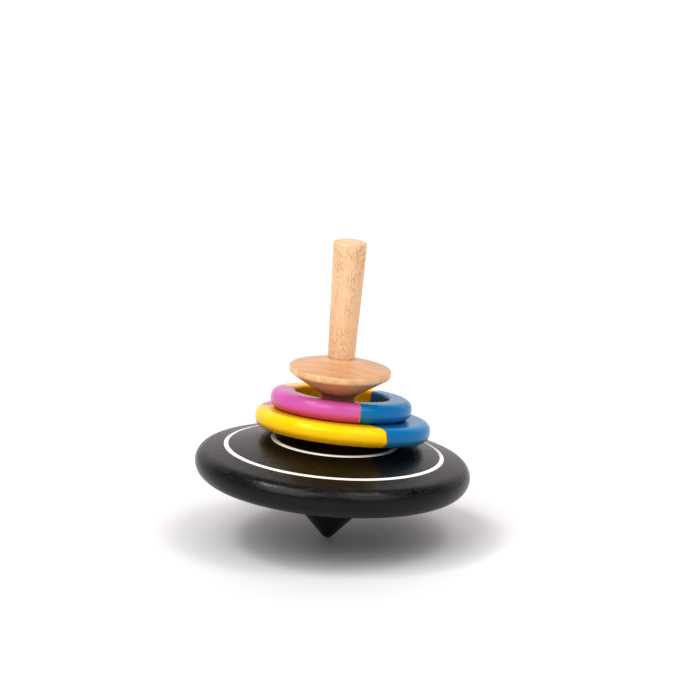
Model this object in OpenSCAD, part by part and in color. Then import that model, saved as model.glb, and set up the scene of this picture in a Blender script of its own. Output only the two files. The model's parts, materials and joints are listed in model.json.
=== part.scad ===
// Finger-spun top: a black disc with a turned tip, a wooden spindle with a collar,
// and two loose painted rings that stay captive between the disc and the collar.
// The origin is the lowest point of the tip and +Z runs up the spindle.
// The rings lie on the sloping top of the disc, off centre and tilted.

/* [Disc] */
// Diameter of the disc
disc_d = 60; // [59:0.5:61.5]
// Height of the widest part of the rim above the tip
rim_z = 16; // [15.5:0.25:16.5]
// Height at which the cone of the top surface would meet the axis
apex_z = 24.85; // [24.5:0.05:25.5]
// Fall of the top surface towards the rim, in degrees
top_slope = 12; // [11:0.5:13]
// Rise of the underside towards the rim, in degrees
under_slope = 11; // [8:0.5:12]
// Radius of the lower edge of the rim
rim_under_r = 3.5; // [3:0.1:4.2]

/* [Tip] */
// Radius of the rounded point
tip_r = 1.7; // [1.2:0.1:2.2]
// Half angle of the cone of the tip, in degrees
tip_half_angle = 42.5; // [38:0.5:46]
// Radius of the hollow where the tip meets the underside
tip_cove_r = 3; // [1.5:0.25:4]

/* [White lines] */
// Radius of the outer line, to the middle of its width
outer_line_r = 23.5; // [22:0.1:24.5]
// Radius of the inner line, to the middle of its width
inner_line_r = 13.4; // [12.5:0.1:15]
// Width of a line
line_w = 1.05; // [0.8:0.05:1.4]
// Depth of the groove that holds the paint
groove_depth = 0.35; // [0.25:0.05:0.5]

/* [Spindle] */
// Height of the whole top
total_h = 66; // [62:0.5:72]
// Diameter of the stem where it leaves the collar
stem_base_d = 5.9; // [5:0.1:6.5]
// Diameter of the stem at its upper end
stem_top_d = 7.3; // [6.6:0.1:8]
// Diameter of the neck between the collar and the foot
neck_d = 6.8; // [6.2:0.1:7.4]
// Diameter of the foot that stands on the disc
foot_d = 9.8; // [8.6:0.1:10]
// Diameter of the tenon glued into the disc
tenon_d = 6; // [5:0.1:7]
// Length of the tenon
tenon_len = 9; // [6:0.5:11]

/* [Collar] */
// Diameter of the collar
collar_d = 22.1; // [21.5:0.1:23]
// Height of the widest part of the collar
collar_rim_z = 37.8; // [37.6:0.05:38]
// Height at which the stem leaves the collar
collar_top_z = 40.4; // [40.2:0.05:40.8]
// Fall of the upper side of the collar towards its rim, in degrees
collar_top_slope = 14.7; // [14:0.1:15.5]
// Rise of the underside of the collar towards its rim, in degrees
collar_under_slope = 32; // [30:0.5:33]
// Radius of the lower edge of the collar's rim
collar_under_r = 1.6; // [1.2:0.1:2]

/* [Rings] */
// Diameter of the bore of both rings
ring_bore_d = 20.6; // [20.2:0.1:21]
// Outer diameter of the upper ring
upper_ring_d = 31.1; // [30:0.1:33]
// Outer diameter of the lower ring
lower_ring_d = 38.6; // [37:0.1:40]
// Height of both rings
ring_h = 4.3; // [4.1:0.05:4.6]
// Radius of the outer edges of the rings
ring_edge_r = 1.9; // [1.2:0.1:2]
// Radius of the edges of the bore
ring_bore_edge_r = 0.7; // [0.4:0.1:1]

/* [Resting place of the rings] */
// How far the lower ring has slid from the axis
ring_shift = 5.1; // [3:0.1:5.2]
// Direction in which it has slid, in degrees from +X
ring_shift_dir = 74; // [0:1:359]
// Slip of the upper ring on the lower one, square to that direction
upper_ring_slip = 0.8; // [0:0.1:1]

/* [Hidden] */

$fn = 96;
// Gap between pieces that only touch
touch_gap = 0.03;
// Room for glue around the tenon, and past its end
glue_gap = 0.05;
glue_room = 0.5;
// How far the paint stays inside its groove on every side
paint_inset = 0.02;
// Rounded edges and hollows of the spindle
stem_end_r = 0.9;
neck_cove_r = 1.6;
foot_cove_r = 12;

disc_r = disc_d / 2;
neck_r = neck_d / 2;
foot_r = foot_d / 2;
collar_r = collar_d / 2;
collar_apex_z = collar_top_z + stem_base_d / 2 * tan(collar_top_slope);

// The disc and the collar are both lenses of two cones joined by a rounded rim.
// The rim's upper edge has the radius that touches the upper cone.
function upper_edge_r(rim_r, rim_z, apex_z, slope) =
    ((apex_z - rim_z) * cos(slope) - rim_r * sin(slope)) / (1 - sin(slope));

// Height at which the lower cone would meet the axis
function under_apex_z(rim_r, rim_z, slope, edge_r) =
    rim_z - (rim_r - edge_r) * tan(slope) - edge_r / cos(slope);

// Outward normals of an upper or a lower cone in the half section
function upper_normal(slope) = [sin(slope), cos(slope)];
function under_normal(slope) = [sin(slope), -cos(slope)];

disc_under_z = under_apex_z(disc_r, rim_z, under_slope, rim_under_r);
collar_under_z = under_apex_z(collar_r, collar_rim_z, collar_under_slope, collar_under_r);

// The cone of the tip leaves the rounded point and ends where it meets the underside
tip_normal = [cos(tip_half_angle), -sin(tip_half_angle)];
tip_start = [0, tip_r] + tip_r * tip_normal;
tip_apex_z = tip_r - tip_r / sin(tip_half_angle);
tip_base_r = (disc_under_z - tip_apex_z) / (1 / tan(tip_half_angle) - tan(under_slope));
tip_base = [tip_base_r, disc_under_z + tip_base_r * tan(under_slope)];

// Height of the top surface of the disc at a distance r from the axis
function top_z(r) = apex_z - r * tan(top_slope);

seat_z = top_z(foot_r);
foot_w = foot_r - neck_r;
foot_cove_z = seat_z + sqrt(pow(foot_cove_r, 2) - pow(foot_cove_r - foot_w, 2));
neck_top = [neck_r, collar_under_z + neck_r * tan(collar_under_slope)];

// The lower ring rests on the disc with the lower edge of its bore, before and behind the axis
edge_out = ring_bore_d / 2 + ring_bore_edge_r;
edge_down = ring_h / 2 - ring_bore_edge_r;
ring_tilt = asin(ring_shift * sin(top_slope)
    / (edge_out * cos(top_slope) + edge_down * sin(top_slope)));
ring_z = apex_z + edge_down * cos(ring_tilt)
    + (ring_bore_edge_r + touch_gap - edge_out * sin(top_slope) * cos(ring_tilt)) / cos(top_slope);

// The part of a circle above (side = 1) or below (side = -1) its centre
module half_circle(centre, r, side) {
    translate(centre)
        intersection() {
            circle(r = r);
            translate([-r, side > 0 ? 0 : -r]) square([2 * r, r]);
        }
}

// Half section of a lens with a rounded rim
module lens_section(rim_r, rim_z, apex_z, upper_slope, under_slope, under_r) {
    upper_r = upper_edge_r(rim_r, rim_z, apex_z, upper_slope);
    upper_c = [rim_r - upper_r, rim_z];
    under_c = [rim_r - under_r, rim_z];
    polygon([
        [0, under_apex_z(rim_r, rim_z, under_slope, under_r)],
        under_c + under_r * under_normal(under_slope),
        under_c,
        upper_c,
        upper_c + upper_r * upper_normal(upper_slope),
        [0, apex_z]
    ]);
    half_circle(upper_c, upper_r, 1);
    half_circle(under_c, under_r, -1);
}

// Fills the corner between two straight flanks with a hollow of radius r
module cove(corner, normal_a, normal_b, r) {
    centre = corner + r * (normal_a + normal_b) / (1 + normal_a * normal_b);
    difference() {
        polygon([corner, centre - r * normal_a, centre - r * normal_b]);
        translate(centre) circle(r = r);
    }
}

// Half section of the tip, up into the disc
module tip_section() {
    polygon([[0, tip_start[1]], tip_start, tip_base, [0, tip_base[1]]]);
    intersection() {
        translate([0, tip_r]) circle(r = tip_r);
        square([tip_r, tip_start[1]]);
    }
}

// A ring that follows the slope of the disc's top, between two depths below it
module sloping_band(r, w, depth_a, depth_b) {
    in_r = r - w / 2;
    out_r = r + w / 2;
    rotate_extrude()
        polygon([
            [in_r, top_z(in_r) - depth_a],
            [out_r, top_z(out_r) - depth_a],
            [out_r, top_z(out_r) - depth_b],
            [in_r, top_z(in_r) - depth_b]
        ]);
}

module groove(r) {
    sloping_band(r, line_w, -groove_depth, groove_depth);
}

module paint(r) {
    sloping_band(r, line_w - 2 * paint_inset, paint_inset, groove_depth - paint_inset);
}

// Half section of the foot and the neck
module neck_section() {
    difference() {
        translate([0, seat_z + touch_gap]) square([foot_r, foot_cove_z - seat_z - touch_gap]);
        translate([neck_r + foot_cove_r, foot_cove_z]) circle(r = foot_cove_r, $fn = 4 * $fn);
    }
    translate([0, foot_cove_z]) square([neck_r, neck_top[1] - foot_cove_z]);
}

// Half section of the stem, rounded at its upper end
module stem_section() {
    end_c = [stem_top_d / 2 - stem_end_r, total_h - stem_end_r];
    polygon([
        [0, collar_rim_z],
        [stem_base_d / 2, collar_rim_z],
        [stem_base_d / 2, collar_top_z],
        end_c + [stem_end_r, 0],
        [0, end_c[1]]
    ]);
    half_circle(end_c, stem_end_r, 1);
    translate([0, end_c[1]]) square([end_c[0], stem_end_r]);
}

// Half section of a ring, centred on its own middle height
module ring_section(outer_r) {
    bore_r = ring_bore_d / 2;
    flat_w = outer_r - ring_edge_r - edge_out;
    translate([edge_out, -ring_h / 2]) square([flat_w, ring_h]);
    translate([bore_r, -edge_down]) square([ring_bore_edge_r, 2 * edge_down]);
    translate([outer_r - ring_edge_r, ring_edge_r - ring_h / 2])
        square([ring_edge_r, ring_h - 2 * ring_edge_r]);
    for (side = [-1, 1]) {
        translate([edge_out, side * edge_down]) circle(r = ring_bore_edge_r);
        translate([outer_r - ring_edge_r, side * (ring_h / 2 - ring_edge_r)]) circle(r = ring_edge_r);
    }
}

// Moves a ring from the origin to where the lower ring lies on the disc
module on_disc() {
    rotate([0, 0, ring_shift_dir])
        translate([ring_shift, 0, ring_z])
            rotate([0, ring_tilt, 0])
                children();
}

module disc() {
    color([0.06, 0.06, 0.065])
        difference() {
            rotate_extrude() {
                lens_section(disc_r, rim_z, apex_z, top_slope, under_slope, rim_under_r);
                tip_section();
                cove(tip_base, tip_normal, under_normal(under_slope), tip_cove_r);
            }
            translate([0, 0, seat_z]) cylinder(r = foot_r + glue_gap, h = apex_z);
            translate([0, 0, seat_z - tenon_len - glue_room])
                cylinder(d = tenon_d + 2 * glue_gap, h = apex_z);
            groove(outer_line_r);
            groove(inner_line_r);
        }
}

module outer_line() {
    color([0.93, 0.93, 0.92]) paint(outer_line_r);
}

module inner_line() {
    color([0.93, 0.93, 0.92]) paint(inner_line_r);
}

module spindle() {
    color([0.88, 0.68, 0.47]) {
        rotate_extrude() {
            neck_section();
            cove(neck_top, [1, 0], under_normal(collar_under_slope), neck_cove_r);
            lens_section(collar_r, collar_rim_z, collar_apex_z,
                collar_top_slope, collar_under_slope, collar_under_r);
            stem_section();
        }
        translate([0, 0, seat_z - tenon_len]) cylinder(d = tenon_d, h = tenon_len + 1);
    }
}

module lower_ring() {
    color([0.97, 0.83, 0.05])
        on_disc() rotate_extrude() ring_section(lower_ring_d / 2);
}

module upper_ring() {
    color([0.84, 0.33, 0.66])
        on_disc()
            translate([0, upper_ring_slip, ring_h + touch_gap])
                rotate_extrude() ring_section(upper_ring_d / 2);
}

disc();
outer_line();
inner_line();
spindle();
lower_ring();
upper_ring();
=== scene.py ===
# A finger-spun wooden top: a black lacquered disc with a turned tip and two white lines,
# a bare beech spindle with a collar, and two loose rings painted in yellow, magenta and blue.
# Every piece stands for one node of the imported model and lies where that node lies.

import json
import math

import bmesh
import bpy
from mathutils import Matrix, Vector, noise

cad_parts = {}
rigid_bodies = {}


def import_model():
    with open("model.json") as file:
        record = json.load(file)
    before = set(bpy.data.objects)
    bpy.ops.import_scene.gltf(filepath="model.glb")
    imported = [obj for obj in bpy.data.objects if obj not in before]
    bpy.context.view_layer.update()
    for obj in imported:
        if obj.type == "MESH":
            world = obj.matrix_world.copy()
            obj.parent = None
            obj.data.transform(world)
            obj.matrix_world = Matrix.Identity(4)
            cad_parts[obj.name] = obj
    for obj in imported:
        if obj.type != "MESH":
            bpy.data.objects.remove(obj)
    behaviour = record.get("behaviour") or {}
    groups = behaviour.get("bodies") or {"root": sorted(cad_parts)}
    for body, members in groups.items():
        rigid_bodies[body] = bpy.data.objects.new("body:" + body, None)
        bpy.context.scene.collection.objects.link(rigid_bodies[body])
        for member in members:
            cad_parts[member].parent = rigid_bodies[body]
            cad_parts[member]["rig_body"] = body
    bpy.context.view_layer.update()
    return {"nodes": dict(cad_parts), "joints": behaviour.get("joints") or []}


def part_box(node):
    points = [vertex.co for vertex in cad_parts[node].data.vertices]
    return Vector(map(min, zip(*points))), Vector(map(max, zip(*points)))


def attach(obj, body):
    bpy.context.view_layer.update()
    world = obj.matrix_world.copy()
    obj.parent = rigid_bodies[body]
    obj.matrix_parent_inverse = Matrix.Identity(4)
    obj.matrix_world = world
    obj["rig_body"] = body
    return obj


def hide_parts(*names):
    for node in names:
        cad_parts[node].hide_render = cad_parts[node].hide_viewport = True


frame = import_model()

# ---------------------------------------------------------------- sizes, in millimetres

MM = 0.001


def box_mm(node):
    """Lowest and highest corner of a CAD node, in millimetres."""
    low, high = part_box(node)
    return low / MM, high / MM


# Disc
DISC_R = box_mm("disc")[1].x
RIM_Z = 16.0
APEX_Z = 24.85
TOP_SLOPE = 12.0
UNDER_SLOPE = 11.0
RIM_UNDER_R = 3.5
TIP_R = 1.7
TIP_HALF_ANGLE = 42.5
TIP_COVE_R = 3.0

# White lines, each let into a groove
LINE_NODES = ("outer_line", "inner_line")
LINE_W = 1.05
GROOVE_DEPTH = 0.35
PAINT_INSET = 0.02
PAINT_CROWN = 0.025
PAINT_CROWN_R = 2.1
GROOVE_EDGE_R = 0.06

# Spindle
SPINDLE_BOTTOM_Z = box_mm("spindle")[0].z
TOTAL_H = box_mm("spindle")[1].z
STEM_BASE_R = 2.95
STEM_TOP_R = 3.65
STEM_END_R = 0.9
STEM_CREASE_R = 0.12
NECK_R = 3.4
NECK_COVE_R = 1.6
FOOT_R = 4.9
FOOT_COVE_R = 12.0
TENON_R = 3.0
GLUE_GAP = 0.05
GLUE_ROOM = 0.5
TOUCH_GAP = 0.03
COLLAR_R = box_mm("spindle")[1].x
COLLAR_RIM_Z = 37.8
COLLAR_TOP_Z = 40.4
COLLAR_TOP_SLOPE = 14.7
COLLAR_UNDER_SLOPE = 32.0
COLLAR_LAND = 0.5
COLLAR_UNDER_R = 0.7

# Rings
RING_EDGE_R = 1.9
RING_BORE_EDGE_R = 0.7

# Fineness of the turned surfaces: columns round the axis, degrees between the points of an
# arc, and the longest step along a straight stretch
COLUMNS = 288
ARC_STEP = 7.0
LONGEST_STEP = 0.6
# Angle in degrees from which an edge is shaded as sharp, and radius that counts as the axis
SHARP_ANGLE = 38.0
ON_AXIS = 1e-6

# Unevenness of the hand-finished surfaces: size and height of the bumps, and a seed. Each
# seed takes another stretch of the same noise, SEED_STEP further up.
DISC_WORK = (5.0, 0.012, 1)
SPINDLE_WORK = (4.0, 0.01, 2)
RING_WORK = (6.0, 0.015, 3)
SEED_STEP = 100.0


def tan(degrees):
    return math.tan(math.radians(degrees))


def sin(degrees):
    return math.sin(math.radians(degrees))


def cos(degrees):
    return math.cos(math.radians(degrees))


# ---------------------------------------------------------------- half sections

def arc(centre, radius, start, end):
    """Unrounded corners (r, z, 0) along an arc, from one angle to another in degrees."""
    steps = max(2, math.ceil(abs(end - start) / ARC_STEP))
    angles = [start + (end - start) * i / steps for i in range(steps + 1)]
    return [(centre[0] + radius * cos(a), centre[1] + radius * sin(a), 0) for a in angles]


def fillet(before, corner, after):
    """The arc that rounds a corner (r, z, edge radius) between its neighbours."""
    here = Vector(corner[:2])
    to_before = (Vector(before[:2]) - here).normalized()
    to_after = (Vector(after[:2]) - here).normalized()
    half = to_before.angle(to_after) / 2
    centre = here + (to_before + to_after).normalized() * (corner[2] / math.sin(half))
    reach = corner[2] / math.tan(half)
    start = here + to_before * reach - centre
    turn = start.angle_signed(here + to_after * reach - centre)
    steps = max(2, math.ceil(math.degrees(abs(turn)) / ARC_STEP))
    points = []
    for i in range(steps + 1):
        offset = start.copy()
        offset.rotate(Matrix.Rotation(-turn * i / steps, 2))
        points.append(centre + offset)
    return points


def outline(corners, closed=False):
    """A half section through corners (r, z, edge radius): corners rounded, long lengths divided."""
    points = []
    count = len(corners)
    for i, corner in enumerate(corners):
        if corner[2] > 0:
            points += fillet(corners[i - 1], corner, corners[(i + 1) % count])
        else:
            points.append(Vector(corner[:2]))
    following = points[1:] + points[:1] if closed else points[1:]
    fine = []
    for start, end in zip(points, following):
        steps = max(1, math.ceil((end - start).length / LONGEST_STEP))
        fine += [start.lerp(end, k / steps) for k in range(steps)]
    return fine if closed else fine + points[-1:]


def upper_edge_r(rim_r, rim_z, apex_z, slope):
    """Radius of a rim's upper edge that touches the upper cone."""
    return ((apex_z - rim_z) * cos(slope) - rim_r * sin(slope)) / (1 - sin(slope))


def under_apex_z(rim_r, rim_z, slope, edge_r):
    """Height at which the lower cone of a lens meets the axis."""
    return rim_z - (rim_r - edge_r) * tan(slope) - edge_r / cos(slope)


def rim(rim_r, rim_z, under_r, upper_r, under_slope, upper_slope, land=0.0):
    """The rim of a lens, from its lower cone over an upright land, if any, to its upper cone."""
    lower = arc((rim_r - under_r, rim_z - land), under_r, under_slope - 90, 0)
    upper = arc((rim_r - upper_r, rim_z), upper_r, 0, 90 - upper_slope)
    return lower + upper[0 if land else 1:]


def top_z(r):
    """Height of the disc's top surface at a distance r from the axis."""
    return APEX_Z - r * tan(TOP_SLOPE)


def line_radius(node):
    """Middle of a white line, from the CAD node of its paint."""
    return box_mm(node)[1].x + PAINT_INSET - LINE_W / 2


def groove_corners(r):
    """A groove in the disc's top, from its outer edge to its inner edge."""
    out_r, in_r = r + LINE_W / 2, r - LINE_W / 2
    return [
        (out_r, top_z(out_r), GROOVE_EDGE_R),
        (out_r, top_z(out_r) - GROOVE_DEPTH, GROOVE_EDGE_R),
        (in_r, top_z(in_r) - GROOVE_DEPTH, GROOVE_EDGE_R),
        (in_r, top_z(in_r), GROOVE_EDGE_R),
    ]


SEAT_Z = top_z(FOOT_R)


def disc_outline():
    """The disc from the point of its tip, over the rim, to the bottom of the tenon's socket."""
    under_z = under_apex_z(DISC_R, RIM_Z, UNDER_SLOPE, RIM_UNDER_R)
    apex_z = TIP_R - TIP_R / sin(TIP_HALF_ANGLE)
    base_r = (under_z - apex_z) / (1 / tan(TIP_HALF_ANGLE) - tan(UNDER_SLOPE))
    tip_base = (base_r, under_z + base_r * tan(UNDER_SLOPE), TIP_COVE_R)
    upper_r = upper_edge_r(DISC_R, RIM_Z, APEX_Z, TOP_SLOPE)
    socket_r = TENON_R + GLUE_GAP
    socket_z = SPINDLE_BOTTOM_Z - GLUE_ROOM
    corners = arc((0, TIP_R), TIP_R, -90, -TIP_HALF_ANGLE) + [tip_base]
    corners += rim(DISC_R, RIM_Z, RIM_UNDER_R, upper_r, UNDER_SLOPE, TOP_SLOPE)
    for node in LINE_NODES:
        corners += groove_corners(line_radius(node))
    corners += [(FOOT_R + GLUE_GAP, SEAT_Z, 0), (socket_r, SEAT_Z, 0), (socket_r, socket_z, 0)]
    return outline(corners + [(0, socket_z, 0)])


def line_outline(r):
    """The paint in a groove, slightly crowned above the lacquer at its middle."""
    half = LINE_W / 2 - PAINT_INSET
    in_r, out_r = r - half, r + half
    deep = GROOVE_DEPTH - PAINT_INSET
    return outline([
        (in_r, top_z(in_r) - deep, 0),
        (out_r, top_z(out_r) - deep, 0),
        (out_r, top_z(out_r) - PAINT_INSET, GROOVE_EDGE_R),
        (r, top_z(r) + PAINT_CROWN, PAINT_CROWN_R),
        (in_r, top_z(in_r) - PAINT_INSET, GROOVE_EDGE_R),
    ], closed=True)


def spindle_outline():
    """The spindle from the end of its tenon to the upper end of its stem."""
    under_z = under_apex_z(COLLAR_R, COLLAR_RIM_Z - COLLAR_LAND, COLLAR_UNDER_SLOPE, COLLAR_UNDER_R)
    collar_apex_z = COLLAR_TOP_Z + STEM_BASE_R * tan(COLLAR_TOP_SLOPE)
    upper_r = upper_edge_r(COLLAR_R, COLLAR_RIM_Z, collar_apex_z, COLLAR_TOP_SLOPE)
    foot_centre_r = NECK_R + FOOT_COVE_R
    foot_rise = math.sqrt(FOOT_COVE_R ** 2 - (foot_centre_r - FOOT_R) ** 2)
    foot_turn = math.degrees(math.asin(foot_rise / FOOT_COVE_R))
    corners = [
        (0, SPINDLE_BOTTOM_Z, 0),
        (TENON_R, SPINDLE_BOTTOM_Z, 0),
        (TENON_R, SEAT_Z + TOUCH_GAP, 0),
        (FOOT_R, SEAT_Z + TOUCH_GAP, 0),
    ]
    corners += arc((foot_centre_r, SEAT_Z + foot_rise), FOOT_COVE_R, 180 + foot_turn, 180)[1:]
    corners += [(NECK_R, under_z + NECK_R * tan(COLLAR_UNDER_SLOPE), NECK_COVE_R)]
    corners += rim(COLLAR_R, COLLAR_RIM_Z, COLLAR_UNDER_R, upper_r,
                   COLLAR_UNDER_SLOPE, COLLAR_TOP_SLOPE, COLLAR_LAND)
    corners += [
        (STEM_BASE_R, COLLAR_TOP_Z, STEM_CREASE_R),
        (STEM_TOP_R, TOTAL_H - STEM_END_R, 0),
    ]
    corners += arc((STEM_TOP_R - STEM_END_R, TOTAL_H - STEM_END_R), STEM_END_R, 0, 90)[1:]
    return outline(corners + [(0, TOTAL_H, 0)])


def ring_outline(outer_r, bore_r, height):
    """A ring about its own middle height, with soft outer edges."""
    up = height / 2
    return outline([
        (bore_r, -up, RING_BORE_EDGE_R),
        (outer_r, -up, RING_EDGE_R),
        (outer_r, up, RING_EDGE_R),
        (bore_r, up, RING_BORE_EDGE_R),
    ], closed=True)


# ---------------------------------------------------------------- meshes

def normals(points, closed):
    """Outward normals of a half section that runs with its solid on the left."""
    count = len(points)
    found = []
    for i in range(count):
        before = points[i - 1] if closed or i > 0 else points[i]
        after = points[(i + 1) % count] if closed or i < count - 1 else points[i]
        along = (after - before).normalized()
        found.append(Vector((along.y, -along.x)))
    return found


def lathe(name, points, closed=False, relief=None, place=None):
    """Turns a half section about +Z, or about the +Z of the frame place, into a mesh.

    relief(r, angle, z) says how far a point is raised above the section, in mm.
    """
    angles = [2 * math.pi * i / COLUMNS for i in range(COLUMNS)]
    mesh = bmesh.new()
    rows = []
    for point, normal in zip(points, normals(points, closed)):
        row = []
        for angle in [0.0] if point.x < ON_AXIS else angles:
            lift = relief(point.x, angle, point.y) if relief else 0.0
            r, z = point + normal * lift
            position = Vector((r * math.cos(angle), r * math.sin(angle), z)) * MM
            row.append(mesh.verts.new(place @ position if place else position))
        rows.append(row)
    following = rows[1:] + rows[:1] if closed else rows[1:]
    for low, high in zip(rows, following):
        for i in range(COLUMNS):
            k = (i + 1) % COLUMNS
            corners = [low[i % len(low)], low[k % len(low)], high[k % len(high)], high[i % len(high)]]
            mesh.faces.new(dict.fromkeys(corners))
    bmesh.ops.recalc_face_normals(mesh, faces=mesh.faces)
    data = bpy.data.meshes.new(name)
    mesh.to_mesh(data)
    mesh.free()
    data.shade_smooth()
    data.set_sharp_from_angle(angle=math.radians(SHARP_ANGLE))
    piece = bpy.data.objects.new(name, data)
    bpy.context.scene.collection.objects.link(piece)
    return piece


def hand_work(size, height, seed):
    """Low unevenness of a hand-finished surface: bumps of one size and height, in mm."""
    def relief(r, angle, z):
        position = Vector((r * math.cos(angle), r * math.sin(angle), z + SEED_STEP * seed))
        return height * noise.noise(position / size)
    return relief


# ---------------------------------------------------------------- material nodes

X_AXIS, Z_AXIS = 0, 2


class Nodes:
    """A node tree in the making: each call adds what it names and gives its output."""

    def __init__(self, tree):
        self.tree = tree
        self.tree.nodes.clear()

    def node(self, kind, inputs=None, **settings):
        made = self.tree.nodes.new(kind)
        for key, value in settings.items():
            setattr(made, key, value)
        for key, value in (inputs or {}).items():
            if isinstance(value, bpy.types.NodeSocket):
                self.tree.links.new(value, made.inputs[key])
            else:
                made.inputs[key].default_value = value
        return made

    def math(self, operation, *values):
        inputs = dict(enumerate(values))
        return self.node("ShaderNodeMath", inputs, operation=operation).outputs[0]

    def times(self, a, b):
        return self.math("MULTIPLY", a, b)

    def plus(self, a, b):
        return self.math("ADD", a, b)

    def minus(self, a, b):
        return self.math("SUBTRACT", a, b)

    def apart(self, a, b):
        """How far two values are from each other."""
        return self.math("ABSOLUTE", self.minus(a, b))

    def length(self, a, b):
        """Length of the diagonal over two sides at right angles."""
        return self.math("SQRT", self.plus(self.times(a, a), self.times(b, b)))

    def scaled(self, vector, factors):
        inputs = {0: vector, 1: factors}
        return self.node("ShaderNodeVectorMath", inputs, operation="MULTIPLY").outputs[0]

    def along(self, vector, direction):
        """How far a vector points along a direction."""
        inputs = {0: vector, 1: direction}
        return self.node("ShaderNodeVectorMath", inputs, operation="DOT_PRODUCT").outputs["Value"]

    def ramp(self, value, stops):
        """A grey that runs through stops (value from 0 to 1, brightness)."""
        made = self.node("ShaderNodeValToRGB", {0: value})
        made.color_ramp.interpolation = "EASE"
        elements = made.color_ramp.elements
        while len(elements) < len(stops):
            elements.new(1.0)
        for element, (place, grey) in zip(elements, stops):
            element.position = place
            element.color = (grey, grey, grey, 1.0)
        return made.outputs["Color"]

    def parts(self, vector):
        return list(self.node("ShaderNodeSeparateXYZ", {0: vector}).outputs)

    def vector(self, x, y, z):
        return self.node("ShaderNodeCombineXYZ", {0: x, 1: y, 2: z}).outputs[0]

    def noise(self, vector, per_mm, detail=2.0, roughness=0.5):
        """Smooth noise around 0.5, with about per_mm features a millimetre."""
        inputs = {"Vector": vector, "Scale": per_mm, "Detail": detail, "Roughness": roughness}
        return self.node("ShaderNodeTexNoise", inputs).outputs["Fac"]

    def streaks(self, vector, axis, stretch, per_mm, detail=2.0, roughness=0.5):
        """Noise drawn out along an axis: stretch is the width of a streak over its length."""
        factors = [stretch if i == axis else 1.0 for i in range(3)]
        return self.noise(self.scaled(vector, factors), per_mm, detail, roughness)

    def cells(self, vector, per_mm):
        """Distance to the nearest of scattered points."""
        inputs = {"Vector": vector, "Scale": per_mm}
        return self.node("ShaderNodeTexVoronoi", inputs).outputs["Distance"]

    def between(self, value, low, high, out_low=0.0, out_high=1.0):
        """A smooth step from out_low at low to out_high at high."""
        inputs = {"Value": value, "From Min": low, "From Max": high,
                  "To Min": out_low, "To Max": out_high}
        made = self.node("ShaderNodeMapRange", inputs, interpolation_type="SMOOTHSTEP")
        return made.outputs[0]

    def mix(self, factor, a, b, blend="MIX"):
        made = self.node("ShaderNodeMix", data_type="RGBA", blend_type=blend)
        for key, value in ((0, factor), (6, a), (7, b)):
            if isinstance(value, bpy.types.NodeSocket):
                self.tree.links.new(value, made.inputs[key])
            else:
                made.inputs[key].default_value = value if key == 0 else (*value, 1.0)
        return made.outputs[2]

    def layers(self, colour, *coats):
        """A colour under coats, each of which is (strength, colour, blend)."""
        for strength, coat, blend in coats:
            colour = self.mix(strength, colour, coat, blend)
        return colour


class Finish(Nodes):
    """A material in the making, with the surface's own place in millimetres as position."""

    def __init__(self, name):
        self.material = bpy.data.materials.new(name)
        self.material.use_nodes = True
        super().__init__(self.material.node_tree)
        coordinates = self.node("ShaderNodeTexCoord").outputs["Object"]
        self.position = self.scaled(coordinates, (1 / MM,) * 3)

    def placed(self, place):
        """The position seen from a frame that lies at place, in millimetres."""
        inputs = {"Vector": self.position, "Location": place.to_translation() / MM,
                  "Rotation": place.to_euler()}
        return self.node("ShaderNodeMapping", inputs, vector_type="TEXTURE").outputs[0]

    def done(self, colour, rough, height, bump_mm, **extra):
        """The surface itself, with a bump of bump_mm for a height from 0 to 1."""
        bump = self.node("ShaderNodeBump", {"Height": height, "Distance": bump_mm * MM})
        inputs = {"Base Color": colour, "Roughness": rough, "Normal": bump.outputs[0]}
        inputs.update({key.replace("_", " "): value for key, value in extra.items()})
        surface = self.node("ShaderNodeBsdfPrincipled", inputs)
        self.node("ShaderNodeOutputMaterial", {"Surface": surface.outputs[0]})
        return self.material


# ---------------------------------------------------------------- materials

# Bare beech: stem, darker clouds, collar (deeper, partly painted shade), rim (rubbed, partly painted
# highlight), flecks
BEECH_PALE = (0.90, 0.67, 0.455)
BEECH_DEEP = (0.74, 0.47, 0.27)
BEECH_BLUSH_AND_SHADE = (0.65, 0.395, 0.215)
BEECH_RUBBED_HIGHLIGHT = (0.95, 0.69, 0.44)
# The brown of the flecks also paints shade in the crease and under the collar's edge
BEECH_FLECK = (0.58, 0.30, 0.10)
# Colours that darken what lies below them: fibres and late wood, and painted shade on the collar's
# underside
BEECH_DARK = (0.82, 0.74, 0.66)
BEECH_UNDER_SHADE = (0.93, 0.88, 0.78)
# Where the heart of the tree was, the width of a growth ring and how far it wanders
PITH = (14.0, 46.0)
GROWTH_W = 2.6
GROWTH_WANDER = 2.4
# Ray flecks in a millimetre outwards, round the tree and up the tree
RAYS_PER_MM = (0.4, 3.4, 1.0)
# Where the features of the spindle fade in. Each pair runs from none to full: heights (Z),
# distances from a height (RISE) and distances from the axis (REACH).
CUT_ACROSS_Z = (COLLAR_TOP_Z + 0.5, COLLAR_TOP_Z - 0.8)
CREASE_RISE = (0.45, 0.1)
CREASE_REACH = (STEM_BASE_R + 0.7, STEM_BASE_R + 0.2)
RUBBED_HIGHLIGHT_REACH = (COLLAR_R - 1.6, COLLAR_R - 0.9)
RUBBED_HIGHLIGHT_RISE = (1.0, 0.6)
RUBBED_HIGHLIGHT_MIDDLE_Z = COLLAR_RIM_Z - 0.4
# Height at which the collar's lower edge ends, and the thin line of painted shade just below it
COLLAR_EDGE_Z = COLLAR_RIM_Z - COLLAR_LAND - COLLAR_UNDER_R * cos(COLLAR_UNDER_SLOPE)
UNDER_FADE = 0.12
EDGE_LINE_DROP = 0.1
EDGE_LINE_W = 0.16
BEECH_BUMP = 0.03


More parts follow.
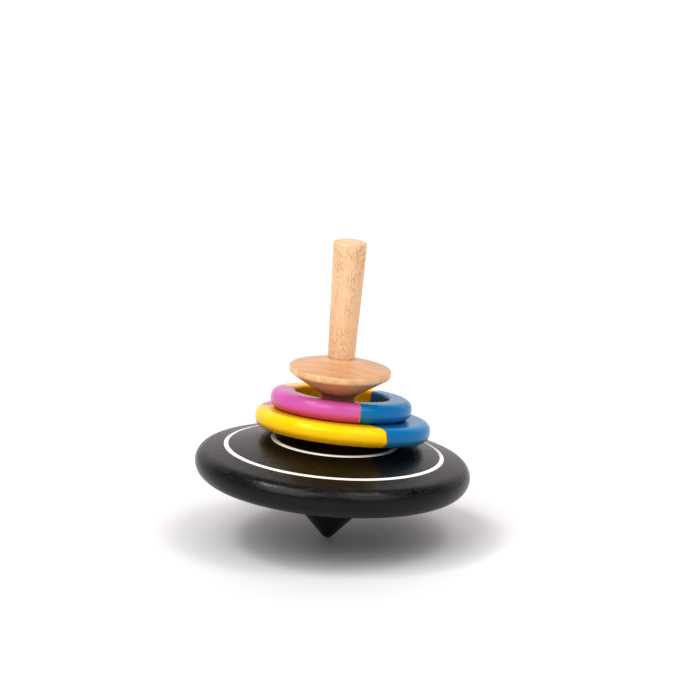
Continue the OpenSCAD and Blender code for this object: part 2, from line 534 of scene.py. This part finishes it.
def beech(name):
    """Bare turned beech with its grain along +Z: growth rings, fibres and short brown ray flecks."""
    s = Finish(name)
    x, y, z = s.parts(s.position)
    from_axis = s.length(x, y)
    across_x = s.minus(x, PITH[0])
    across_y = s.minus(y, PITH[1])
    wander = s.times(s.streaks(s.position, Z_AXIS, 0.12, 0.25), GROWTH_WANDER)
    radius = s.plus(s.length(across_x, across_y), wander)
    turn = s.times(s.math("ARCTAN2", across_x, across_y), Vector(PITH).length)

    # A growth ring darkens slowly and ends abruptly
    growth = s.math("FRACT", s.math("DIVIDE", radius, GROWTH_W))
    late = s.times(s.between(growth, 0.3, 0.9), s.between(growth, 1.0, 0.9))
    fibres = s.streaks(s.position, Z_AXIS, 0.05, 5.0, 3, 0.6)
    blush = s.between(s.streaks(s.position, Z_AXIS, 0.3, 0.16), 0.35, 0.7)
    mottle = s.between(s.streaks(s.position, Z_AXIS, 0.3, 2.4), 0.45, 0.72)

    # Rays are thin sheets that run out from the pith, cut to flecks by the turned surface
    sheet = s.vector(*[s.times(part, rate) for part, rate in zip((radius, turn, z), RAYS_PER_MM)])
    crowd = s.streaks(s.position, Z_AXIS, 0.25, 0.35)
    fleck_size = s.between(crowd, 0.36, 0.6, 0.0, 0.36)
    fleck = s.between(s.minus(s.cells(sheet, 1.0), fleck_size), 0.14, -0.14)

    # The collar and all below it cuts across the grain, soaks up more and looks deeper; its colour is
    # darkened further as painted shade
    cut_across = s.between(z, *CUT_ACROSS_Z)

    def graded(stem, collar):
        """One strength on the stem and another on the collar and below."""
        return s.between(cut_across, 0.0, 1.0, stem, collar)

    # Painted shade in the crease at the foot of the stem
    crease_shade = s.times(s.between(s.apart(z, COLLAR_TOP_Z), *CREASE_RISE),
                     s.between(from_axis, *CREASE_REACH))

    # The collar's rim is pale, partly rubbed smooth and partly a painted highlight, in places more
    # than in others
    rubbed_highlight = s.times(s.between(s.apart(z, RUBBED_HIGHLIGHT_MIDDLE_Z), *RUBBED_HIGHLIGHT_RISE),
                     s.between(from_axis, *RUBBED_HIGHLIGHT_REACH))
    rubbed_highlight = s.times(rubbed_highlight, s.between(s.noise(s.position, 0.2), 0.35, 0.6, 0.3, 0.7))

    # Below the rim's lower edge, marked by a thin line of painted shade, the collar is darkened with
    # painted shade
    under = s.between(z, COLLAR_EDGE_Z + UNDER_FADE, COLLAR_EDGE_Z - UNDER_FADE)
    edge_shade_line = s.between(s.apart(z, COLLAR_EDGE_Z - EDGE_LINE_DROP), EDGE_LINE_W, 0.0)

    colour = s.layers(
        BEECH_PALE,
        (s.times(cut_across, 0.85), BEECH_BLUSH_AND_SHADE, "MIX"),
        (s.times(blush, 0.35), BEECH_BLUSH_AND_SHADE, "MIX"),
        (rubbed_highlight, BEECH_RUBBED_HIGHLIGHT, "MIX"),
        (s.times(under, 0.3), BEECH_UNDER_SHADE, "MULTIPLY"),
        (s.times(late, graded(0.12, 0.4)), BEECH_DARK, "MULTIPLY"),
        (s.times(s.between(fibres, 0.3, 0.75), graded(0.5, 0.2)), BEECH_DARK, "MULTIPLY"),
        (s.times(mottle, 0.5), BEECH_DEEP, "MIX"),
        (s.times(fleck, graded(0.62, 0.32)), BEECH_FLECK, "MIX"),
        (s.times(crease_shade, 0.4), BEECH_FLECK, "MIX"),
        (s.times(edge_shade_line, 0.35), BEECH_FLECK, "MIX"),
    )
    rough = s.plus(0.2, s.times(fibres, 0.2))
    height = s.minus(s.times(fibres, graded(1.0, 0.15)), s.times(fleck, 0.3))
    return s.done(colour, rough, height, BEECH_BUMP)


# Black lacquer in its two shades, with specks of dust that also paint a sheen on the worn shoulder,
# and the bare wood of the worn tip
LACQUER_DEEP = (0.0032, 0.0029, 0.0025)
LACQUER_SOFT = (0.0065, 0.0060, 0.0052)
LACQUER_DUST_AND_SHEEN = (0.06, 0.056, 0.052)
TIP_WORN = (0.16, 0.10, 0.055)
# Heights between which the worn patches and painted sheen of the shoulder fade in and out, and the
# wear of the tip
SHOULDER_FROM_Z = (RIM_Z + 0.6, RIM_Z + 2.0)
SHOULDER_TO_Z = (RIM_Z + 3.4, RIM_Z + 2.2)
TIP_WORN_Z = (0.25, 0.05)
LACQUER_BUMP = 0.05


def black_lacquer(name):
    """Satin black lacquer over turned wood whose long grain runs across the disc."""
    s = Finish(name)
    x, y, z = s.parts(s.position)
    grain = s.streaks(s.position, X_AXIS, 0.2, 1.9, 2, 0.55)
    pores = s.between(s.streaks(s.position, X_AXIS, 0.16, 5.0), 0.56, 0.72)
    turned = s.noise(s.vector(s.length(x, y), 0.0, z), 4.5, 1)
    dust = s.between(s.cells(s.position, 1.3), 0.09, 0.04)
    cloud = s.noise(s.position, 0.18)

    # The shoulder above the rim is worn in patches, painted a little lighter as a sheen along its
    # highlight
    shoulder = s.times(s.between(z, *SHOULDER_FROM_Z), s.between(z, *SHOULDER_TO_Z))
    worn_sheen = s.times(shoulder, s.between(grain, 0.45, 0.62))
    tip = s.between(s.minus(z, s.times(cloud, 0.3)), *TIP_WORN_Z)

    colour = s.layers(
        LACQUER_DEEP,
        (s.between(cloud, 0.3, 0.7), LACQUER_SOFT, "MIX"),
        (s.times(dust, 0.25), LACQUER_DUST_AND_SHEEN, "MIX"),
        (s.times(worn_sheen, 0.3), LACQUER_DUST_AND_SHEEN, "MIX"),
        (s.times(tip, 0.8), TIP_WORN, "MIX"),
    )
    rough = s.plus(s.plus(0.1, s.times(grain, 0.2)), s.times(cloud, 0.06))
    height = s.minus(s.plus(grain, s.times(turned, 0.3)), s.times(pores, 0.35))
    return s.done(colour, rough, height, LACQUER_BUMP)


# White paint where the brush left little and much of it, and where it is thin
WHITE_DULL = (0.90, 0.91, 0.90)
WHITE_FULL = (0.96, 0.96, 0.95)
WHITE_THIN = (0.66, 0.66, 0.65)
WHITE_BUMP = 0.02


def white_paint(name):
    """Brushed white paint, a little thin and grey in places."""
    s = Finish(name)
    brush = s.noise(s.position, 1.6, 3)
    thin = s.between(s.noise(s.position, 0.35), 0.55, 0.8)
    colour = s.layers(
        WHITE_DULL,
        (s.between(brush, 0.35, 0.7), WHITE_FULL, "MIX"),
        (s.times(thin, 0.2), WHITE_THIN, "MIX"),
    )
    return s.done(colour, s.plus(0.42, s.times(brush, 0.15)), brush, WHITE_BUMP)


# Each paint in the light, and a darker copy as painted shade on the underside and in the bore
PAINTS = {
    "yellow": ((0.94, 0.68, 0.0), (0.90, 0.51, 0.0)),
    "magenta": ((0.66, 0.175, 0.49), (0.60, 0.10, 0.26)),
    "blue": ((0.0, 0.235, 0.495), (0.03, 0.22, 0.44)),
}
# Where each colour of a ring starts, in degrees round the ring, and which colour it is
SECTORS = {
    "lower_ring": ((-60, "blue"), (60, "magenta"), (180, "yellow")),
    "upper_ring": ((-74, "blue"), (52, "yellow"), (166, "magenta")),
}
SECTOR_ANGLE = 120.0
# The thin line of older paint that shows between two colours, and its half width
SEAMS = {"lower_ring": (0.42, 0.20, 0.02), "upper_ring": (0.85, 0.27, 0.03)}
SEAM_W = 0.26
# How much the borders of the colours lean back towards the bore, in radians a millimetre,
# how much they waver, and how soft they are, in radians
BORDER_LEAN = {"lower_ring": 0.02, "upper_ring": 0.0}
BORDER_WAVER = 0.05
BORDER_SOFT = 0.003
# Heights above a ring's middle, and radii, between which its paint darkens into painted shade
SHADE_BELOW = (0.6, -1.9)
SHADE_INSIDE = (11.6, 10.7)
ENAMEL_BUMP = 0.04


def ring_paint(node, outer_r, place):
    """Satin enamel in three colours, with edges a brush wide of true and a thin seam between."""
    s = Finish(node + "_enamel")
    position = s.placed(place)
    x, y, z = s.parts(position)
    radius = s.length(x, y)
    waver = s.times(s.minus(s.noise(position, 0.35, 1), 0.5), BORDER_WAVER)
    lean = s.times(s.minus(outer_r, radius), BORDER_LEAN[node])
    angle = s.plus(s.math("ARCTAN2", y, x), s.plus(waver, lean))
    cloud = s.between(s.noise(position, 0.22), 0.35, 0.75)
    peel = s.noise(position, 1.1)
    grain = s.streaks(position, X_AXIS, 0.2, 2.2, 3, 0.6)
    # Painted shade: the paint darkens on the ring's underside and in its bore
    thin = s.math("MAXIMUM", s.between(z, *SHADE_BELOW), s.between(radius, *SHADE_INSIDE))

    # The first colour goes all the way round, and the others lie over it
    colour = None
    seam = 0.0
    for start, paint in SECTORS[node]:
        thick_paint, shaded_paint = PAINTS[paint]
        shade = s.mix(thin, thick_paint, shaded_paint)
        shade = s.mix(s.times(cloud, 0.14), shade, shaded_paint)
        past = s.math("WRAP", s.minus(angle, math.radians(start)), math.pi, -math.pi)
        begun = s.between(past, -BORDER_SOFT, BORDER_SOFT)
        within = s.math("LESS_THAN", past, math.radians(SECTOR_ANGLE))
        colour = s.mix(s.times(begun, within), colour, shade) if colour else shade
        away = s.times(s.math("ABSOLUTE", past), radius)
        seam = s.math("MAXIMUM", seam, s.between(away, SEAM_W, 0.0))

    seam_strength = s.between(s.noise(position, 0.8, 1), 0.35, 0.6, 0.35, 1.0)
    colour = s.mix(s.times(seam, seam_strength), colour, SEAMS[node])
    rough = s.plus(0.11, s.times(peel, 0.12))
    height = s.minus(s.plus(peel, s.times(grain, 0.5)), s.times(seam, 0.8))
    return s.done(colour, rough, height, ENAMEL_BUMP, Specular_IOR_Level=0.36)


# ---------------------------------------------------------------- pieces

def add(piece, material, node):
    """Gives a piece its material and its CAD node's place in the tree."""
    piece.data.materials.append(material)
    body = frame["nodes"][node]["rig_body"]
    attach(piece, body)
    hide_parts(node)


def ring_place(joint):
    """The frame of a ring: its centre and its axis, from its joint."""
    turn = Vector((0, 0, 1)).rotation_difference(Vector(joint["axis"]))
    return Matrix.Translation(Vector(joint["pos_m"])) @ turn.to_matrix().to_4x4()


def ring_size(node, place):
    """Outer radius, bore radius and height of a ring, measured on its CAD node, in mm."""
    inverse = place.inverted()
    local = [inverse @ v.co / MM for v in frame["nodes"][node].data.vertices]
    reach = [p.xy.length for p in local]
    heights = [p.z for p in local]
    return max(reach), min(reach), max(heights) - min(heights)


disc = lathe("disc_body", disc_outline(), relief=hand_work(*DISC_WORK))
add(disc, black_lacquer("black_lacquer"), "disc")

line_finish = white_paint("white_line_paint")
for line in LINE_NODES:
    paint = lathe(line + "_paint", line_outline(line_radius(line)), closed=True)
    add(paint, line_finish, line)

spindle = lathe("turned_spindle", spindle_outline(), relief=hand_work(*SPINDLE_WORK))
add(spindle, beech("beech"), "spindle")

for joint in frame["joints"]:
    node = joint["child"]
    place = ring_place(joint)
    outer_r, bore_r, height = ring_size(node, place)
    ring = lathe(node + "_painted", ring_outline(outer_r, bore_r, height), closed=True,
                 relief=hand_work(*RING_WORK), place=place)
    add(ring, ring_paint(node, outer_r, place), node)


# ---------------------------------------------------------------- floor, light and camera

# The camera looks down a little and is level with the floor. The top leans to the right as
# the camera sees it, so that in the frame of the top the camera and the floor are rolled.
# The camera stands at CAMERA_OFFSET from the disc's centre along its own right, up and
# back directions, in millimetres.
CAMERA_ELEVATION = 12.29
CAMERA_ROLL = 4.58
CAMERA_OFFSET = Vector((3.78, 25.38, 508.0))
CAMERA_LENS = 119.93
CAMERA_SENSOR = 36.0
CAMERA_CLIP = (0.01, 100.0)
CAMERA_TURN = (Matrix.Rotation(math.radians(90 - CAMERA_ELEVATION), 3, "X")
               @ Matrix.Rotation(math.radians(CAMERA_ROLL), 3, "Z"))

# The floor's own directions: right and away as the camera sees them, and up
FLOOR_TURN = CAMERA_TURN @ Matrix.Rotation(math.radians(CAMERA_ELEVATION - 90), 3, "X")
# Half the side of the floor in metres, its whiteness, and how much it varies
FLOOR_HALF = 6.0
FLOOR_WHITE = 0.90
FLOOR_SHADE = 0.99

DISC_CENTRE = Vector((0, 0, RIM_Z)) * MM
TIP_CENTRE = Vector((0, 0, TIP_R)) * MM

# Four round lamps, far away: direction, width in degrees, and brightness, where the
# surroundings at their whitest are about 1. The two narrow ones make the highlights, the two
# wide ones light the front. Directions are (azimuth, elevation) in degrees, with azimuth
# counted from right towards away.
LAMPS = {
    "left_box": ((-172.0, 62.0), 13.0, 10.0),
    "right_box": ((-15.0, 68.0), 20.0, 2.8),
    "left_front": ((-132.0, 48.0), 47.0, 2.45),
    "right_front": ((-48.0, 48.0), 47.0, 1.5),
}
# Brightness of the surroundings by elevation in degrees: the room, and the white backdrop
# behind the top
ROOM = ((-90, 0.85), (0, 0.85), (12, 0.75), (26, 0.35), (48, 0.2), (64, 0.4), (90, 0.6))
BACKDROP = ((-90, 0.9), (0, 0.85), (28, 1.2), (45, 1.15), (66, 0.6), (90, 0.6))
# How far a direction points away from the camera where the backdrop begins and where it is full
BACKDROP_EDGE = (0.3, 0.8)
# The surroundings are a little warm
WARMTH = (1.0, 0.95, 0.955)
# Strength of the lamps and the surroundings together
LIGHT = 1.09
# Contrast of the picture, where 1 is plain and less is stronger
TONE_GAMMA = 0.73


def direction(azimuth, elevation):
    """Unit vector above the floor, azimuth counted from right towards away, in degrees."""
    level = Vector((cos(azimuth) * cos(elevation), sin(azimuth) * cos(elevation), sin(elevation)))
    return FLOOR_TURN @ level


def floor():
    """A wide white floor that touches the tip. It doesn't hide the object from below."""
    mesh = bmesh.new()
    corners = [(-1, -1), (1, -1), (1, 1), (-1, 1)]
    mesh.faces.new([mesh.verts.new((x * FLOOR_HALF, y * FLOOR_HALF, 0)) for x, y in corners])
    data = bpy.data.meshes.new("floor")
    mesh.to_mesh(data)
    mesh.free()
    s = Finish("floor_white")
    soft = s.noise(s.position, 0.004, 2)
    colour = s.mix(soft, (FLOOR_SHADE * FLOOR_WHITE,) * 3, (FLOOR_WHITE,) * 3)
    matt = {"Base Color": colour, "Roughness": 0.6, "Specular IOR Level": 0.2}
    top = s.node("ShaderNodeBsdfPrincipled", matt)
    clear = s.node("ShaderNodeBsdfTransparent")
    under = s.node("ShaderNodeNewGeometry").outputs["Backfacing"]
    both = s.node("ShaderNodeMixShader", {0: under, 1: top.outputs[0], 2: clear.outputs[0]})
    s.node("ShaderNodeOutputMaterial", {"Surface": both.outputs[0]})
    data.materials.append(s.material)
    made = bpy.data.objects.new("floor", data)
    bpy.context.scene.collection.objects.link(made)
    touch = TIP_CENTRE - direction(0, 90) * TIP_R * MM
    made.matrix_world = Matrix.Translation(touch) @ FLOOR_TURN.to_4x4()


def lamp(name, towards, width, brightness):
    """A round soft lamp, far away, so that it lights the whole floor evenly."""
    light = bpy.data.lights.new(name, "SUN")
    solid_angle = 2 * math.pi * (1 - cos(width / 2))
    light.energy = LIGHT * brightness * solid_angle
    light.angle = math.radians(width)
    made = bpy.data.objects.new(name, light)
    bpy.context.scene.collection.objects.link(made)
    made.rotation_euler = direction(*towards).to_track_quat("Z", "Y").to_euler()


def world():
    """The surroundings that the glossy paint reflects and that fill the shadows."""
    made = bpy.data.worlds.new("studio")
    bpy.context.scene.world = made
    made.use_nodes = True
    s = Nodes(made.node_tree)
    towards = s.node("ShaderNodeTexCoord").outputs["Generated"]
    height = s.math("MULTIPLY_ADD", s.along(towards, direction(0, 90)), 0.5, 0.5)
    room, backdrop = [s.ramp(height, [((1 + sin(e)) / 2, grey) for e, grey in stops])
                      for stops in (ROOM, BACKDROP)]
    behind = s.between(s.along(towards, direction(90, 0)), *BACKDROP_EDGE)
    around = s.mix(1.0, s.mix(behind, room, backdrop), WARMTH, "MULTIPLY")
    background = s.node("ShaderNodeBackground", {"Color": around, "Strength": LIGHT})
    s.node("ShaderNodeOutputWorld", {"Surface": background.outputs[0]})


def camera():
    data = bpy.data.cameras.new("camera")
    data.lens = CAMERA_LENS
    data.sensor_width = CAMERA_SENSOR
    data.clip_start, data.clip_end = CAMERA_CLIP
    made = bpy.data.objects.new("camera", data)
    bpy.context.scene.collection.objects.link(made)
    made.matrix_world = (Matrix.Translation(DISC_CENTRE + CAMERA_TURN @ CAMERA_OFFSET * MM)
                         @ CAMERA_TURN.to_4x4())
    bpy.context.scene.camera = made


def tone():
    """Plain colours with the slightly stronger contrast of a camera's own tone curve."""
    settings = bpy.context.scene.view_settings
    settings.view_transform = "Standard"
    settings.gamma = TONE_GAMMA


floor()
for lamp_name, lamp_values in LAMPS.items():
    lamp(lamp_name, *lamp_values)
world()
camera()
tone()
